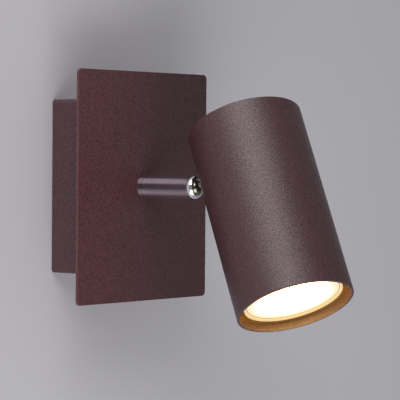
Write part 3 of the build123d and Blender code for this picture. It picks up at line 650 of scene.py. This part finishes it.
def screwSurface(screw, place, way, start):
    # The profile runs from the head's middle over its dome, down its side, under it and down the thread to the tip.
    # The head's top sinks by a cross or a slot: full depth within the arms, none beyond them, a soft edge between.
    # The thread's radius swings with a triangle wave of (height / pitch + turn), so its ridge climbs as a helix.
    form, steps = screwForm, screwForm["steps"]
    turn = np.linspace(0, 2 * np.pi, steps, endpoint=False)[None, :]
    top = np.linspace(0, 1, form["topRows"])[:, None]
    topRadius = screw["head"] * form["topWide"] * top
    domeHigh = screw["high"] * screw["dome"]
    topHeight = screw["high"] - domeHigh * (1 - np.sqrt(np.maximum(1 - (form["domeRound"] * top) ** 2, 0)))
    x, y = topRadius * np.cos(turn), topRadius * np.sin(turn)
    near, far = np.minimum(abs(x), abs(y)), np.maximum(abs(x), abs(y))
    reach = form["crossReach"]
    if screw["recess"] == "slot":
        near, far, reach = abs(x), topRadius + 0 * x, form["slotReach"]
    soft = screw["head"] * form["softEdge"]
    inArm = np.clip((screw["head"] * form["armHalf"] - near) / soft + 0.5, 0, 1)
    inReach = np.clip((screw["head"] * reach - far) / soft + 0.5, 0, 1)
    slope = np.clip(form["deepFrom"] - form["shallower"] * far / screw["head"], 0, 1)
    sink = screw["high"] * form["deep"] * (inArm * inReach) * slope
    headTop = np.stack((topRadius + 0 * x, topHeight - sink), axis=-1)
    side = np.array(form["rim"]) * (screw["head"], topHeight[-1, 0])
    side = np.broadcast_to(side[:, None], (len(side), steps, 2))
    rows = max(int(screw["length"] / screw["pitch"] * form["rowsPerPitch"]), form["leastRows"])
    h = np.linspace(0, -screw["length"], rows)[:, None]
    phase = (h / screw["pitch"] + turn / (2 * np.pi)) % 1
    ridge = form["ridge"] * screw["radius"] * abs(2 * phase - 1) * np.clip(-h / screw["pitch"], 0, 1)
    taper = np.clip((screw["length"] + h) / (form["tipLong"] * screw["radius"]), 0, 1)
    taper = taper * (1 - form["tipWide"]) + form["tipWide"]
    shank = np.stack(((screw["radius"] * form["threadWide"] - ridge) * taper, h + 0 * turn), axis=-1)
    tip = np.zeros((1, steps, 2))
    tip[..., 1] = -screw["length"]
    profile = np.concatenate((headTop, side, shank, tip))
    return turnRound(profile, place, way, steps=steps, start=start)


def makeScrews():
    for name, screw in screws.items():
        surfaces = [(screwSurface(screw, place, way, start), False) for place, way, start in screw["seats"]]
        makePiece(name, surfaces, screw["body"], finishes[screw["finish"]], screw["node"])


makeScrews()
print("screws made:", sum(len(screw["seats"]) for screw in screws.values()))

grommetShape = {
    "middle": (0.0, 0.0, 0.014),
    "profile": [(0.0036, 0.0), (0.0048, 0.0), (0.0048, 0.0015), (0.0062, 0.0015), (0.0062, 0.0029), (0.0036, 0.0029)],
    "round": 0.0005,
}


def makeGrommet():
    # A stepped ring with all its corners rounded over, turned about the cable hole
    grid = turnRound(roundCorners(grommetShape["profile"], grommetShape["round"]), grommetShape["middle"], outWay)
    makePiece("cableGrommet", [(grid, True)], "wall_side", finishes["rubber"], "cable_grommet")


toothedWashers = {
    "stemWasher": {
        "node": "stem_lock_washer", "body": "wall_side", "place": (0.0, -0.0282, 0.0), "way": (0, -1, 0),
        "bore": 0.0041, "outer": 0.0062, "thick": 0.0006, "teeth": 12, "toothDeep": 0.0008, "round": 0.00008,
    },
    "neckWasher": {
        "node": "neck_lock_washer", "body": "head", "place": ballCentre + neckWay * 0.011, "way": neckWay,
        "bore": 0.0026, "outer": 0.0047, "thick": 0.0006, "teeth": 10, "toothDeep": 0.0008, "round": 0.00008,
    },
}


def makeToothedWashers():
    # A flat ring whose outer radius drops by the tooth's depth where the cosine of (teeth * turn) is below zero
    for name, washer in toothedWashers.items():
        steps = washer["teeth"] * 16  # so that every tooth has the same rows
        turn = np.linspace(0, 2 * np.pi, steps, endpoint=False)
        gap = np.clip(0.5 - 3 * np.cos(washer["teeth"] * turn), 0, 1)  # the 3 makes the teeth's sides steep
        outer = washer["outer"] - washer["toothDeep"] * gap
        bore, half = washer["bore"] + 0 * turn, washer["thick"] / 2
        ease = washer["round"]
        radius = np.stack((bore, bore, bore + ease, outer - ease, outer, outer, outer - ease, bore + ease))
        height = np.array([half - ease, -half + ease, -half, -half, -half + ease, half - ease, half, half])
        profile = np.stack((radius, np.broadcast_to(height[:, None], radius.shape)), axis=-1)
        grid = turnRound(profile, washer["place"], washer["way"], steps=steps)
        makePiece(name, [(grid, True)], washer["body"], finishes["zinc"], washer["node"])


waveWasher = {
    "place": (0.0, -0.04325, 0.0),
    "bore": 0.00367,
    "outer": 0.0048,
    "thick": 0.0004,
    "round": 0.0001,
    "swing": 0.00044,
    "waves": 3,
    "steps": 120,
}


def makeWaveWasher():
    # A thin flat ring whose height swings with the sine of (waves * turn)
    shape, steps = waveWasher, waveWasher["steps"]
    turn = np.linspace(0, 2 * np.pi, steps, endpoint=False)
    half, bore, outer = shape["thick"] / 2, shape["bore"], shape["outer"]
    corners = roundCorners([(bore, half), (bore, -half), (outer, -half), (outer, half)], shape["round"], steps=3)
    height = corners[:, 1:2] + shape["swing"] * np.sin(shape["waves"] * turn)
    profile = np.stack((np.broadcast_to(corners[:, :1], height.shape), height), axis=-1)
    grid = turnRound(profile, shape["place"], outWay, steps=steps)
    makePiece("waveWasher", [(grid, True)], "wall_side", finishes["zinc"], "wave_washer")


makeGrommet()
makeToothedWashers()
makeWaveWasher()
print("grommet and washers made")

dressing = {
    "plate": ["front_plate"],
    "body": ["back_box", "shade", "shade_top", "saddle_washer", "box_screws"],
    "stem": ["stem_base", "swivel_washer", "stem_tube"],
    "chrome": ["socket_cap"],
    "nickel": ["joint_ball"],
    "zinc": [
        "wall_bracket", "terminal_screws", "terminal_fixing_screw", "earth_screw", "stem_lock_washer", "wave_washer",
        "journal_clip", "seat_spring", "lamp_bracket", "neck_lock_washer", "holder_screws", "head_earth_screw",
    ],
    "brass": ["terminal_clamps", "stem_nut", "neck_nut", "spring_plug", "holder_contacts", "lamp_pins"],
    "tin": ["earth_lug", "head_earth_lug"],
    "rubber": ["cable_grommet"],
    "block": ["terminal_block"],
    "nylon": ["stem_bush", "ball_seat"],
    "ceramic": ["lamp_holder"],
    "lamp": ["lamp_rim", "lamp_body", "lamp_lens"],
    "lead": ["base_leads", "stem_leads"],
    "headLead": ["head_leads"],
    "earth": ["base_earth_lead", "head_earth_lead"],
}
for finish, names in dressing.items():
    for name in names:
        nodes[name].material_slots[0].material = finishes[finish]
print("finishes set on", sum(len(names) for names in dressing.values()), "nodes")
